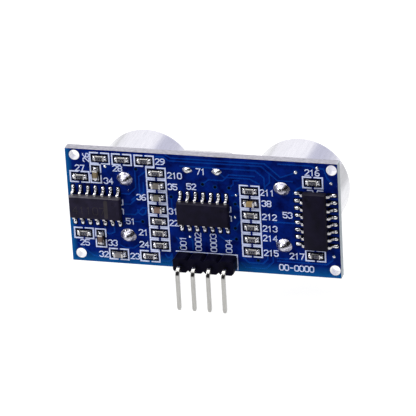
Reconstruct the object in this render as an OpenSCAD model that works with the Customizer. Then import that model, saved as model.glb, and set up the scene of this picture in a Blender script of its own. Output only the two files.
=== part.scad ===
// Ultrasonic distance sensor: a small two-sided circuit board that stands upright,
// with a transmitter and a receiver can on its front and the electronics on its back.
// The origin is the centre of the mounting-hole pattern, on the front face of the board.
// -Y is the way the sensor looks, +Z is up, and the header pins point down.

/* [Board] */
// Length of the board
board_w = 45; // [44:0.5:48]
// Height of the board
board_h = 20; // [20:0.5:22]
// Thickness of the laminate
board_t = 1.6; // [1.2:0.1:1.6]
// How far the cut outline sits to +X of the hole pattern
outline_shift = 0.28; // [0:0.02:0.3]
// How far the cut outline sits below the hole pattern
outline_drop = 0.14; // [0:0.02:0.3]

/* [Mounting holes] */
// Distance between the hole centres along the board
hole_pitch_x = 42.5; // [42:0.1:43]
// Distance between the hole centres up the board
hole_pitch_z = 17.5; // [17.3:0.1:17.7]
// Diameter of a mounting hole
hole_d = 1.75; // [1.5:0.05:2]

/* [Transducers] */
// Distance between the centres of the two cans
can_pitch = 26; // [25.5:0.1:27]
// Outside diameter of a can
can_d = 16; // [15.5:0.1:16.5]
// Height of a can above the board
can_h = 11.9; // [11:0.1:13]
// Thickness of the can's sheet metal
can_wall = 0.4; // [0.3:0.05:0.5]
// Radius of the can's front edge
can_edge_r = 0.5; // [0.5:0.1:1]
// Diameter of the opening that the wire screen closes
screen_open_d = 12.8; // [12:0.1:13]
// Distance between the two terminals of a can
terminal_pitch = 10; // [9.6:0.1:10.2]
// Diameter of a terminal
terminal_d = 1; // [0.8:0.05:1]

/* [Crystal] */
// Height of the crystal's centre line above the origin
crystal_z = 7.25; // [7:0.05:7.5]
// Length of the crystal can
crystal_w = 10.3; // [10:0.1:10.6]
// Thickness of the crystal can
crystal_d = 3.7; // [3.5:0.1:3.9]
// Height of the crystal above the board
crystal_h = 2.6; // [2.4:0.1:3.6]
// Distance between the crystal's leads
crystal_lead_pitch = 4.88; // [4.8:0.01:4.96]

/* [Header] */
// Number of header pins
pin_count = 4; // [3:1:5]
// Distance between neighbouring pins
pin_pitch = 2.54;
// Side of a square pin
pin_side = 0.64; // [0.6:0.01:0.66]
// Height of the row of header holes
header_z = -8.55; // [-8.6:0.05:-8.4]
// Lowest point of the pins
pin_tip_z = -15.6; // [-18:0.1:-15]
// Distance from the board to the centre of the hanging part of a pin
pin_drop = 4.3; // [3.6:0.05:4.6]

/* [Chips] */
// Distance between neighbouring leads of a chip
chip_pitch = 1.27;
// Width of a chip body across its leads
chip_body = 3.9; // [3.8:0.05:4]
// Height of a chip above the board
chip_h = 1.5; // [1.4:0.05:1.6]
// Distance from toe to toe of a chip's leads
chip_span = 6; // [5.9:0.05:6.2]

/* [Small parts] */
// Length of a resistor or capacitor
chip_part_l = 1.6; // [1.5:0.05:1.7]
// Width of a resistor or capacitor
chip_part_w = 0.8; // [0.75:0.05:0.85]
// Height of a resistor
resistor_h = 0.45; // [0.4:0.05:0.5]
// Height of a capacitor
capacitor_h = 0.8; // [0.7:0.05:0.85]
// Distance between the rows of the two columns of small parts
row_pitch = 2.13; // [2.1:0.01:2.15]
// Distance of each column of small parts from the middle of the board
column_x = 7.7; // [7.6:0.05:7.8]

/* [Hidden] */
$fn = 64;
steel = [0.75, 0.75, 0.74];
tin = [0.80, 0.80, 0.78];
black_plastic = [0.07, 0.07, 0.09];
aluminium = [0.86, 0.86, 0.90];
eps = 0.01;

// The parts of a transducer stack up from the board; heights count from its front face.
base_h = 2.4;
base_boss_h = 3.2;
base_boss_r = 4.2;
pad_in_r = 3.4;
pad_top = 4.6;
piezo_r = 3.2;
piezo_t = 0.35;
plate_r = 4.5;
plate_t = 0.25;
cone_foot_r = 1.2;
cone_mouth_r = 5.2;
cone_wall = 0.25;
cone_top = 9.6;
screen_r = can_d / 2 - can_wall;
screen_t = 0.2;
screen_top = can_h - can_wall;
screen_cell = 1.0;
screen_bar = 0.3;
terminal_r = terminal_d / 2;
terminal_top = 3.2;
terminal_tail = 0.6;
terminal_solder_r = 1.42;
terminal_solder_w = 2.5;
terminal_solder_h = 1.2;
wire_r = 0.12;

crystal_wall = 0.25;
crystal_edge_r = 0.5;
flange_t = 0.45;
flange_rim = 0.35;
crystal_lead_r = 0.215;
crystal_lead_tail = 0.55;
crystal_lead_top = 1.2;
crystal_solder_r = 0.85;
crystal_solder_w = 1.4;
crystal_solder_h = 0.5;
quartz_l = 6.6;
quartz_w = 1.6;
quartz_t = 0.2;

housing_h = 2.54;
housing_side = 2.54;
housing_cut = 0.4;
pin_bend_r = 1.15;
pin_front = 0.9;
pin_taper = 0.8;
header_hole_r = 0.5;
header_solder_r = 0.95;
header_solder_h = 0.75;

lead_w = 0.42;
lead_t = 0.2;
lead_mid = 0.85;
chip_draft = 0.12;
chip_gap = 0.1;
dot_r = 0.35;
dot_depth = 0.06;
toe_fillet = 0.35;

cap_l = 0.25;
plating = 0.02;
fillet_l = 0.42;

// Each chip: x, z, leads per side, 90 if it stands upright, side of the pin-1 dot along the body.
amplifier_at = [18.03, 0, 7, 0, -1];
controller_at = [0, 0, 7, 0, -1];
driver_at = [-18.47, 0, 8, 90, -1];

// Each small part: x, z, 90 if it stands upright.
resistors = [
    [column_x, -2 * row_pitch, 0],
    [column_x, -row_pitch, 0],
    [9.55, -8.5, 0],
    [column_x, -3 * row_pitch, 0],
    [20.55, -5.1, 0],
    [17.0, 8.4, 0],
    [20.55, 4.95, 0],
    [13.3, 8.4, 0],
    [9.55, 8.4, 0],
    [column_x, 3 * row_pitch, 0],
    [-column_x, 2 * row_pitch, 0],
    [-column_x, 0, 0],
    [-column_x, -row_pitch, 0],
    [-column_x, -2 * row_pitch, 0],
    [-column_x, -3 * row_pitch, 0],
    [-18.12, 6.42, 0],
    [-18.12, -6.42, 0]
];
capacitors = [
    [column_x, 0, 0],
    [14.8, -8.5, 0],
    [17.7, -5.8, 90],
    [17.8, 5.65, 90],
    [column_x, 2 * row_pitch, 0],
    [column_x, row_pitch, 0],
    [-column_x, row_pitch, 0]
];
pin_xs = [for (i = [0 : pin_count - 1]) (i - (pin_count - 1) / 2) * pin_pitch];

// ---- Placing ----

// Puts a shape that rises along its own +Z on the front face, so that it rises towards -Y.
module on_front(x, z) {
    translate([x, 0, z])
        rotate([90, 0, 0])
            children();
}

// Puts a shape that rises along its own +Z on the back face, so that it rises towards +Y.
module on_back(x, z, turn = 0) {
    translate([x, board_t, z])
        rotate([-90, 0, 0])
            rotate([0, 0, turn])
                children();
}

// Repeats a shape at the two terminals of a can.
module at_terminals(x) {
    for (side = [-1, 1])
        on_front(x, side * terminal_pitch / 2)
            children();
}

// ---- Board ----

module circuit_board() {
    color([0.03, 0.08, 0.38])
    difference() {
        translate([outline_shift - board_w / 2, 0, -outline_drop - board_h / 2])
            cube([board_w, board_t, board_h]);
        for (x = [-1, 1], z = [-1, 1])
            through_hole(x * hole_pitch_x / 2, z * hole_pitch_z / 2, hole_d / 2);
        for (x = [-1, 1], z = [-1, 1])
            through_hole(x * can_pitch / 2, z * terminal_pitch / 2, terminal_r);
        for (x = [-1, 1])
            through_hole(x * crystal_lead_pitch / 2, crystal_z, crystal_lead_r);
        for (x = pin_xs)
            through_hole(x, header_z, header_hole_r);
    }
}

module through_hole(x, z, r) {
    translate([x, -1, z])
        rotate([-90, 0, 0])
            cylinder(r = r, h = board_t + 2);
}

// ---- Transducers ----

// The can is drawn sheet metal: a tube with a rounded, turned-in front edge.
module transducer_can(x) {
    color(aluminium)
    on_front(x, 0)
        rotate_extrude() {
            translate([can_d / 2 - can_wall, 0])
                square([can_wall, can_h - can_edge_r]);
            translate([can_d / 2 - can_edge_r, can_h - can_edge_r])
                edge_ring();
            translate([screen_open_d / 2, can_h - can_wall])
                square([can_d / 2 - can_edge_r - screen_open_d / 2, can_wall]);
        }
}

// Quarter of a ring, as thick as the sheet metal.
module edge_ring() {
    intersection() {
        difference() {
            circle(r = can_edge_r);
            circle(r = can_edge_r - can_wall);
        }
        square(can_edge_r);
    }
}

// The screen is a grid of wires inside a flat rim, held under the turned-in edge.
module transducer_screen(x) {
    rim_r = screen_r - can_edge_r + can_wall;
    cells = floor(screen_open_d / screen_cell / 2);
    color([0.62, 0.62, 0.64])
    on_front(x, 0)
        translate([0, 0, screen_top - screen_t])
            difference() {
                cylinder(r = rim_r, h = screen_t);
                for (i = [-cells : cells], j = [-cells : cells])
                    if (norm([i, j]) * screen_cell < screen_open_d / 2 - screen_cell / 2)
                        translate([i * screen_cell, j * screen_cell, screen_t / 2])
                            cube([screen_cell - screen_bar, screen_cell - screen_bar, 1], center = true);
            }
}

// The cone is a thin funnel that stands on the metal plate and couples it to the air.
module transducer_cone(x) {
    foot = pad_top + plate_t;
    color(aluminium)
    on_front(x, 0)
        rotate_extrude()
            polygon([
                [0, foot],
                [cone_foot_r, foot],
                [cone_foot_r, foot + 1],
                [cone_mouth_r, cone_top],
                [cone_mouth_r - cone_wall, cone_top],
                [0, foot + 1 + cone_wall]
            ]);
}

module transducer_metal_plate(x) {
    color([0.80, 0.68, 0.42])
    on_front(x, 0)
        translate([0, 0, pad_top])
            cylinder(r = plate_r, h = plate_t);
}

module transducer_piezo_disc(x) {
    color([0.85, 0.82, 0.72])
    on_front(x, 0)
        translate([0, 0, pad_top - piezo_t])
            cylinder(r = piezo_r, h = piezo_t);
}

// The soft ring that carries the plate has a slot for the lower lead wire.
module transducer_damping_ring(x) {
    color([0.88, 0.88, 0.86])
    on_front(x, 0)
        translate([0, 0, base_boss_h])
            difference() {
                cylinder(r = base_boss_r, h = pad_top - base_boss_h);
                translate([0, 0, -1])
                    cylinder(r = pad_in_r, h = pad_top);
                translate([-0.4, -base_boss_r - 1, -1])
                    cube([0.8, base_boss_r + 1, pad_top]);
            }
}

module transducer_base(x) {
    color([0.16, 0.13, 0.12])
    on_front(x, 0)
        difference() {
            union() {
                cylinder(r = can_d / 2 - can_wall, h = base_h);
                cylinder(r = base_boss_r, h = base_boss_h);
            }
            for (side = [-1, 1])
                translate([0, side * terminal_pitch / 2, -1])
                    cylinder(r = terminal_r, h = base_h + 2);
        }
}

module transducer_terminals(x) {
    color(tin)
    at_terminals(x)
        translate([0, 0, -board_t - terminal_tail])
            cylinder(r = terminal_r, h = board_t + terminal_tail + terminal_top);
}

// One wire joins the upper terminal to the metal plate, the other the lower one to the disc.
module transducer_lead_wires(x) {
    mid = terminal_pitch / 2;
    plate_top = pad_top + plate_t + wire_r;
    disc_foot = pad_top - piezo_t;
    low = (base_boss_h + disc_foot) / 2;
    color([0.72, 0.42, 0.25])
    on_front(x, 0) {
        wire([[mid, terminal_top], [mid, plate_top], [plate_r - 2 * wire_r, plate_top]]);
        wire([[-mid, terminal_top], [-mid, low], [-piezo_r + 1, low], [-piezo_r + 1, disc_foot]]);
    }
}

// Round wire through points [y, z] in the plane x = 0.
module wire(points) {
    for (i = [0 : len(points) - 2]) {
        run = points[i + 1] - points[i];
        translate([0, points[i][0], points[i][1]])
            rotate([-atan2(run[0], run[1]), 0, 0])
                cylinder(r = wire_r, h = norm(run), $fn = 16);
    }
    for (i = [1 : len(points) - 2])
        translate([0, points[i][0], points[i][1]])
            sphere(r = wire_r, $fn = 16);
}

// ---- Crystal ----

// Outline with round ends, w long and d thick.
module round_ended(w, d) {
    square([w - d, d], center = true);
    for (side = [-1, 1])
        translate([side * (w - d) / 2, 0])
            circle(d = d);
}

// Closed block with round ends and a rounded top edge.
module crystal_block(w, d, h, r) {
    straight = w - d;
    rotate([90, 0, 90])
        linear_extrude(straight, center = true)
            for (side = [0, 1])
                mirror([side, 0])
                    half_section(d / 2, h, r);
    for (side = [-1, 1])
        translate([side * straight / 2, 0, 0])
            rotate_extrude()
                half_section(d / 2, h, r);
}

module half_section(half_d, h, r) {
    square([half_d, h - r]);
    square([half_d - r, h]);
    translate([half_d - r, h - r])
        circle(r = r);
}

module crystal_can() {
    inner_h = crystal_h - flange_t - crystal_wall;
    color(steel)
    on_front(0, crystal_z)
        translate([0, 0, flange_t])
            difference() {
                crystal_block(crystal_w, crystal_d, crystal_h - flange_t, crystal_edge_r);
                translate([0, 0, -eps])
                    linear_extrude(inner_h + eps)
                        round_ended(crystal_w - 2 * crystal_wall, crystal_d - 2 * crystal_wall);
            }
}

module crystal_base() {
    color(steel)
    on_front(0, crystal_z)
        difference() {
            linear_extrude(flange_t)
                round_ended(crystal_w + 2 * flange_rim, crystal_d + 2 * flange_rim);
            for (side = [-1, 1])
                translate([side * crystal_lead_pitch / 2, 0, -1])
                    cylinder(r = crystal_lead_r, h = flange_t + 2);
        }
}

module crystal_quartz() {
    color([0.85, 0.88, 0.90])
    on_front(0, crystal_z)
        translate([-quartz_l / 2, -quartz_w / 2, crystal_lead_top])
            cube([quartz_l, quartz_w, quartz_t]);
}

module crystal_leads() {
    color(tin)
    for (side = [-1, 1])
        on_front(side * crystal_lead_pitch / 2, crystal_z)
            translate([0, 0, -board_t - crystal_lead_tail])
                cylinder(r = crystal_lead_r, h = board_t + crystal_lead_tail + crystal_lead_top);
}

// ---- Header ----

// The moulded strip has cut corners at every pin, so its long sides show notches.
module header_housing() {
    half = pin_pitch / 2;
    side = housing_side / 2;
    color(black_plastic)
    translate([0, board_t, header_z])
        rotate([-90, 0, 0])
            linear_extrude(housing_h)
                difference() {
                    for (x = pin_xs)
                        translate([x, 0])
                            polygon([
                                [-half, side - housing_cut], [housing_cut - half, side],
                                [half - housing_cut, side], [half, side - housing_cut],
                                [half, housing_cut - side], [half - housing_cut, -side],
                                [housing_cut - half, -side], [-half, housing_cut - side]
                            ]);
                    for (x = pin_xs)
                        translate([x, 0])
                            square(pin_side, center = true);
                }
}

module header_pins() {
    color([0.78, 0.76, 0.70])
    for (x = pin_xs)
        translate([x, board_t, header_z])
            header_pin();
}

// Side view of one pin: through the board, round the bend and down to the tip.
module header_pin() {
    half = pin_side / 2;
    drop = header_z - pin_tip_z;
    inner_r = pin_bend_r - half;
    outer_r = pin_bend_r + half;
    tip = half / 2;
    intersection() {
        rotate([90, 0, 90])
            linear_extrude(2 * pin_side, center = true) {
                translate([-board_t - pin_front, -half])
                    square([board_t + pin_front + pin_drop - pin_bend_r, pin_side]);
                translate([pin_drop - pin_bend_r, -pin_bend_r])
                    intersection() {
                        difference() {
                            circle(r = outer_r);
                            circle(r = inner_r);
                        }
                        square(outer_r);
                    }
                translate([pin_drop, 0])
                    polygon([
                        [-half, -pin_bend_r], [half, -pin_bend_r], [half, pin_taper - drop],
                        [tip, -drop], [-tip, -drop], [-half, pin_taper - drop]
                    ]);
            }
        rotate([90, 0, 0])
            linear_extrude(4 * pin_drop, center = true)
                polygon([
                    [-half, half], [half, half], [half, pin_taper - drop],
                    [tip, -drop], [-tip, -drop], [-half, pin_taper - drop]
                ]);
    }
}

// ---- Chips ----

// Half the length of the body of a chip with the given number of leads per side.
function chip_half_length(leads) = (leads - 1) * chip_pitch / 2 + 0.51;

// The body tapers up and down from the plane of its leads, and has a dot at pin 1.
module chip_body_at(at) {
    half_l = chip_half_length(at[2]);
    color(black_plastic)
    on_back(at[0], at[1], at[3])
        difference() {
            intersection() {
                rotate([90, 0, 0])
                    linear_extrude(2 * chip_body, center = true)
                        drafted_section(half_l);
                rotate([90, 0, 90])
                    linear_extrude(4 * half_l, center = true)
                        drafted_section(chip_body / 2);
            }
            translate([at[4] * (half_l - 0.95), -chip_body / 2 + 0.9, chip_h - dot_depth])
                cylinder(r = dot_r, h = 1);
        }
}

module drafted_section(half) {
    polygon([
        [chip_draft - half, chip_gap], [half - chip_draft, chip_gap],
        [half, lead_mid - lead_t / 2], [half, lead_mid + lead_t / 2],
        [half - chip_draft, chip_h], [chip_draft - half, chip_h],
        [-half, lead_mid + lead_t / 2], [-half, lead_mid - lead_t / 2]
    ]);
}

module chip_leads_at(at) {
    color(tin)
    on_back(at[0], at[1], at[3])
        for (i = [0 : at[2] - 1], side = [0, 1])
            translate([(i - (at[2] - 1) / 2) * chip_pitch, 0, 0])
                mirror([0, side, 0])
                    gull_wing();
}

// Side view of one lead, from the body's middle plane down to its foot on the board.
module gull_wing() {
    root = chip_body / 2;
    toe = chip_span / 2;
    top = lead_mid + lead_t / 2;
    rotate([90, 0, 90])
        linear_extrude(lead_w, center = true)
            polygon([
                [root, top], [root + 0.35, top], [root + 0.6, lead_t], [toe, lead_t],
                [toe, 0], [root + 0.45, 0], [root + 0.2, top - lead_t], [root, top - lead_t]
            ]);
}

// ---- Small parts ----

// Ceramic block with a plated cap at each end; the caps stand a little proud of it.
module chip_part(at, h, shade) {
    color(shade)
    on_back(at[0], at[1], at[2]) {
        translate([-chip_part_l / 2 + cap_l, -chip_part_w / 2 + plating, plating])
            cube([chip_part_l - 2 * cap_l, chip_part_w - 2 * plating, h - 2 * plating]);
        for (side = [-1, 1])
            translate([side * (chip_part_l - cap_l) / 2, 0, h / 2])
                cube([cap_l, chip_part_w, h], center = true);
    }
}

module resistor(i) {
    chip_part(resistors[i], resistor_h, [0.16, 0.15, 0.17]);
}

module capacitor(i) {
    shades = [
        [0.66, 0.51, 0.43], [0.58, 0.54, 0.49], [0.52, 0.44, 0.38], [0.59, 0.47, 0.31],
        [0.59, 0.55, 0.49], [0.58, 0.54, 0.48], [0.78, 0.63, 0.35]
    ];
    chip_part(capacitors[i], capacitor_h, shades[i]);
}

// ---- Solder ----

// Solder round a lead's end: a cone with a hollow foot, trimmed to the width of its oval pad.
module oval_joint(foot_r, width, height, lead_r, lead_tail) {
    difference() {
        intersection() {
            rotate_extrude()
                polygon([
                    [0, 0], [foot_r, 0], [0.88 * foot_r, 0.13 * height],
                    [0.60 * foot_r, 0.50 * height], [0.22 * foot_r, 0.92 * height], [0, height]
                ]);
            cube([4 * foot_r, width, 4 * height], center = true);
        }
        translate([0, 0, -1])
            cylinder(r = lead_r, h = lead_tail + 1);
    }
}

module transducer_solder_joints() {
    color(tin)
    for (x = [-1, 1], z = [-1, 1])
        on_back(x * can_pitch / 2, z * terminal_pitch / 2)
            oval_joint(terminal_solder_r, terminal_solder_w, terminal_solder_h, terminal_r, terminal_tail);
}

module crystal_solder_joints() {
    color(tin)
    for (x = [-1, 1])
        on_back(x * crystal_lead_pitch / 2, crystal_z)
            oval_joint(crystal_solder_r, crystal_solder_w, crystal_solder_h, crystal_lead_r, crystal_lead_tail);
}

// Solder fills each header hole round its pin and stands as a cone on the front face.
module header_solder_joints() {
    color(tin)
    for (x = pin_xs)
        on_front(x, header_z)
            difference() {
                union() {
                    translate([0, 0, -board_t])
                        cylinder(r = header_hole_r, h = board_t);
                    cylinder(r1 = header_solder_r, r2 = header_hole_r, h = header_solder_h);
                }
                cube([pin_side, pin_side, 4 * board_t], center = true);
            }
}

// Wedges of solder at the ends of every small part and at the toe of every chip lead.
module surface_solder_joints() {
    color(tin) {
        for (at = resistors)
            end_fillets(at, 0.8 * resistor_h);
        for (at = capacitors)
            end_fillets(at, 0.7 * capacitor_h);
        for (at = [amplifier_at, controller_at, driver_at])
            toe_fillets(at);
    }
}

module end_fillets(at, h) {
    on_back(at[0], at[1], at[2])
        for (side = [0, 1])
            mirror([side, 0, 0])
                translate([chip_part_l / 2, 0, 0])
                    wedge(fillet_l, h, chip_part_w);
}

module toe_fillets(at) {
    on_back(at[0], at[1], at[3])
        for (i = [0 : at[2] - 1], side = [-1, 1])
            translate([(i - (at[2] - 1) / 2) * chip_pitch, side * chip_span / 2, 0])
                rotate([0, 0, side * 90])
                    wedge(toe_fillet, lead_t, lead_w);
}

// Right-angled wedge that falls from h to nothing over its length l.
module wedge(l, h, w) {
    rotate([90, 0, 0])
        linear_extrude(w, center = true)
            polygon([[0, 0], [l, 0], [0, h]]);
}

// ---- Nodes ----

tx = -can_pitch / 2;
rx = can_pitch / 2;
circuit_board();
transducer_can(tx);  // transmitter_can
transducer_screen(tx);  // transmitter_screen
transducer_cone(tx);  // transmitter_cone
transducer_metal_plate(tx);  // transmitter_metal_plate
transducer_piezo_disc(tx);  // transmitter_piezo_disc
transducer_damping_ring(tx);  // transmitter_damping_ring
transducer_base(tx);  // transmitter_base
transducer_terminals(tx);  // transmitter_terminals
transducer_lead_wires(tx);  // transmitter_lead_wires
transducer_can(rx);  // receiver_can
transducer_screen(rx);  // receiver_screen
transducer_cone(rx);  // receiver_cone
transducer_metal_plate(rx);  // receiver_metal_plate
transducer_piezo_disc(rx);  // receiver_piezo_disc
transducer_damping_ring(rx);  // receiver_damping_ring
transducer_base(rx);  // receiver_base
transducer_terminals(rx);  // receiver_terminals
transducer_lead_wires(rx);  // receiver_lead_wires
crystal_can();
crystal_base();
crystal_quartz();
crystal_leads();
header_housing();
header_pins();
chip_body_at(amplifier_at);  // amplifier_chip_body
chip_leads_at(amplifier_at);  // amplifier_chip_leads
chip_body_at(controller_at);  // controller_chip_body
chip_leads_at(controller_at);  // controller_chip_leads
chip_body_at(driver_at);  // driver_chip_body
chip_leads_at(driver_at);  // driver_chip_leads
transducer_solder_joints();
crystal_solder_joints();
header_solder_joints();
surface_solder_joints();
for (i = [0 : len(resistors) - 1])
    resistor(i);
for (i = [0 : len(capacitors) - 2])
    capacitor(i);
capacitor(len(capacitors) - 1);  // capacitor_8
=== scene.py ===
"""An ultrasonic distance sensor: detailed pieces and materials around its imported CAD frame.

Lengths inside the shape helpers are millimetres; objects are made in metres, in the row's frame.
"Across" and "up" on the back face are as someone behind the sensor sees them.
"""

import random
from math import atan2, cos, pi, radians, sin, sqrt

import bmesh
import bpy
from mathutils import Matrix, Vector


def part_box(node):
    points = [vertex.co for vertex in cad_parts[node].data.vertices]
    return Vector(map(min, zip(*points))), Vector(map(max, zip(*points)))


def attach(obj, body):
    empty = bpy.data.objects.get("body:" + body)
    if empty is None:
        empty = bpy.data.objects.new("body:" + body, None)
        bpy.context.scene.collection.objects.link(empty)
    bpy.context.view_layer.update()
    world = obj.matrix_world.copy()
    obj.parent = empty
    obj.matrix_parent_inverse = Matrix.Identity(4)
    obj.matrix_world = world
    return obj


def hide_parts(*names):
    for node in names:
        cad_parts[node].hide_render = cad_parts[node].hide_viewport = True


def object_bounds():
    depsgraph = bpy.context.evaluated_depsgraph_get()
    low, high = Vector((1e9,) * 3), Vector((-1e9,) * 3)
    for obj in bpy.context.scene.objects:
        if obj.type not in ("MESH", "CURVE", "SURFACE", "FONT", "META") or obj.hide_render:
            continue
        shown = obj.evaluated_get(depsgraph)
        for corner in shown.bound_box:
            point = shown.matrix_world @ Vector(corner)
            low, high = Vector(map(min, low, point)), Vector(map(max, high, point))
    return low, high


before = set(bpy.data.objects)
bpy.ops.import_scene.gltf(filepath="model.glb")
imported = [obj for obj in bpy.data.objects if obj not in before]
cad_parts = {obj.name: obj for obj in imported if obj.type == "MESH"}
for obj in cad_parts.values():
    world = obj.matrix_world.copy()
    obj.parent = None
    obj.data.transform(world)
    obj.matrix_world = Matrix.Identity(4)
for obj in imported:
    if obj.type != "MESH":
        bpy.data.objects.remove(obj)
cad_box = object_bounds()

MM = 0.001
BODY = "root"
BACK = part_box("circuit_board")[1].y / MM
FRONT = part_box("circuit_board")[0].y / MM

# Heights of what is printed and plated on the laminate. Its foot is just inside the mask.
MASK_T = 0.03
FOOT = MASK_T - 0.01
OPENING_TOP = 0.038
TRACK_TOP = 0.055
PAD_TOP = 0.06
VIA_TOP = 0.07
INK_TOP = 0.075

# How far the camera stands to the side of the board's normal.
VIEW_AZIMUTH = radians(16.48)

SIDES = ("transmitter", "receiver")
CHIPS = ("amplifier", "controller", "driver")
RESISTORS = [f"resistor_{i}" for i in range(1, 18)]
CAPACITORS = [f"capacitor_{i}" for i in (1, 2, 3, 4, 5, 6, 8)]
SMALL_PARTS = RESISTORS + CAPACITORS


# ---- places

def box_mm(node):
    """Lowest corner, highest corner and centre of a CAD node, in millimetres."""
    low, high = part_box(node)
    low, high = low / MM, high / MM
    return low, high, (low + high) / 2


def turned(place, angle):
    """Frame turned about its own outward axis."""
    return place @ Matrix.Rotation(angle, 4, "Z")


def moved(place, across, up=0.0, out=0.0):
    """Frame shifted along its own axes."""
    return place @ Matrix.Translation((across, up, out))


def on_back(x, z, turn=0.0):
    """Frame of a spot on the back face: across and up as seen from behind, then out of the board."""
    axes = Matrix(((-1, 0, 0), (0, 0, 1), (0, 1, 0))).to_4x4()
    return turned(Matrix.Translation((x, BACK, z)) @ axes, turn)


def on_front(x, z):
    """The same for the front face, as seen from the front."""
    axes = Matrix(((1, 0, 0), (0, 0, -1), (0, 1, 0))).to_4x4()
    return Matrix.Translation((x, FRONT, z)) @ axes


def part_frame(node):
    """Frame of a chip or small part, with its length along the first local axis, and its size."""
    low, high, centre = box_mm(node)
    size = high - low
    place = on_back(centre.x, centre.z, pi / 2 if size.z > size.x else 0)
    return place, max(size.x, size.z), min(size.x, size.z), size.y


# ---- shapes

class Shape:
    """Collects closed skins in millimetres and makes one object of them."""

    def __init__(self):
        self.verts = []
        self.faces = []
        self.slots = []

    def loft(self, rings, place=Matrix(), slot=0, loop=False):
        """Skin through rings of equally many points. Its ends are closed unless it is a loop."""
        first = len(self.verts)
        size = len(rings[0])
        for ring in rings:
            self.verts += [place @ Vector(p) for p in ring]
        for i in range(len(rings) - (not loop)):
            a = first + i * size
            b = first + (i + 1) % len(rings) * size
            for j in range(size):
                k = (j + 1) % size
                self.faces.append((a + j, a + k, b + k, b + j))
        if not loop:
            last = first + (len(rings) - 1) * size
            self.faces.append(tuple(range(first + size - 1, first - 1, -1)))
            self.faces.append(tuple(range(last, last + size)))
        self.slots += [slot] * (len(self.faces) - len(self.slots))

    def build(self, name, materials, record_slot, replaced=(), sharp=35.0):
        """Makes the object, shades it smooth up to the given angle and fixes it to the sensor."""
        mesh = bpy.data.meshes.new(name)
        mesh.from_pydata([v * MM for v in self.verts], [], self.faces)
        mesh.polygons.foreach_set("material_index", self.slots)
        for material in materials:
            mesh.materials.append(material)
        face_outwards(mesh)
        mesh.shade_smooth()
        mesh.set_sharp_from_angle(angle=radians(sharp))
        return settle(name, mesh, replaced)


def face_outwards(mesh, merge=0.0):
    """Turns every face outwards, once points closer than the merge distance are joined."""
    work = bmesh.new()
    work.from_mesh(mesh)
    if merge:
        bmesh.ops.remove_doubles(work, verts=work.verts, dist=merge)
    bmesh.ops.recalc_face_normals(work, faces=work.faces)
    work.to_mesh(mesh)
    work.free()


def evaluated_mesh(thing):
    """Mesh of an object with its modifiers applied."""
    bpy.context.view_layer.update()
    return bpy.data.meshes.new_from_object(thing.evaluated_get(bpy.context.evaluated_depsgraph_get()))


def add_object(name, data):
    thing = bpy.data.objects.new(name, data)
    bpy.context.scene.collection.objects.link(thing)
    return thing


def settle(name, mesh, replaced=()):
    """Fixes a piece to the sensor and hides the CAD parts it replaces."""
    piece = add_object(name, mesh)
    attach(piece, BODY)
    if replaced:
        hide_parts(*replaced)
    return piece


def turn_steps(count):
    return [2 * pi * i / count for i in range(count)]


def rounded(length, width, height, corner, steps=4):
    """Ring of points round a rectangle with round corners."""
    ring = []
    for quarter, (sx, sy) in enumerate(((1, 1), (-1, 1), (-1, -1), (1, -1))):
        for i in range(steps + 1):
            t = pi / 2 * (quarter + i / steps)
            x = sx * (length / 2 - corner) + corner * cos(t)
            y = sy * (width / 2 - corner) + corner * sin(t)
            ring.append((x, y, height))
    return ring


def soft_block(shape, length, width, low, high, edge, place, slot=0, corner=None):
    """Block with round upright corners and a round top edge."""
    corner = corner or edge
    steps = 3
    rings = [rounded(length, width, low, corner)]
    for i in range(steps + 1):
        t = pi / 2 * i / steps
        inset = edge * (1 - cos(t))
        bend = max(corner - inset, 0.15 * corner)
        rings.append(rounded(length - 2 * inset, width - 2 * inset, high - edge + edge * sin(t), bend))
    shape.loft(rings, place, slot)


def lathe(shape, profile, place, count=96, loop=True):
    """Turned shape. The profile is (radius, height) pairs, round the section if it is a loop."""
    turns = turn_steps(count)
    rings = [[(r * cos(t), r * sin(t), h) for t in turns] for r, h in profile]
    shape.loft(rings, place, loop=loop)


def arc(centre, radius, start, end, steps):
    """Points (radius, height) along an arc, with angles in degrees."""
    angles = [radians(start + (end - start) * i / steps) for i in range(steps + 1)]
    return [(centre[0] + radius * cos(a), centre[1] + radius * sin(a)) for a in angles]


def strip(shape, points, width, top, place, base=0.0, closed=False):
    """Flat line of ink or copper along points, with mitred corners, round ends and soft edges."""
    points = [Vector(p) for p in points]
    count = len(points)
    sections = []
    for i, here in enumerate(points):
        before = points[i - 1] if i or closed else None
        after = points[(i + 1) % count] if i < count - 1 or closed else None
        run_in = (here - before).normalized() if before else (after - here).normalized()
        run_out = (after - here).normalized() if after else run_in
        mid = (run_in + run_out).normalized()
        side = Vector((-mid.y, mid.x))
        reach = 1 / max(side.dot(Vector((-run_in.y, run_in.x))), 0.5)
        sections.append((here, side * reach, width / 2))
    if not closed:
        sections = end_caps(sections)
    bevel = min(0.03, width / 4)
    rings = []
    for here, side, half in sections:
        inner = max(half - bevel, 0.1 * half)
        rings.append([
            (*(here + side * half), base), (*(here + side * inner), top),
            (*(here - side * inner), top), (*(here - side * half), base),
        ])
    shape.loft(rings, place, loop=closed)


def end_caps(sections):
    """Adds narrowing sections past both ends of a line, so that they look round."""
    caps = []
    for (here, side, half), outward in ((sections[0], -1), (sections[-1], 1)):
        ahead = Vector((side.y, -side.x)) * outward
        turns = [radians(t) for t in (35, 62, 82)]
        caps.append([(here + ahead * half * sin(t), side, half * cos(t)) for t in turns])
    return caps[0][::-1] + sections + caps[1]


# ---- materials

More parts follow.
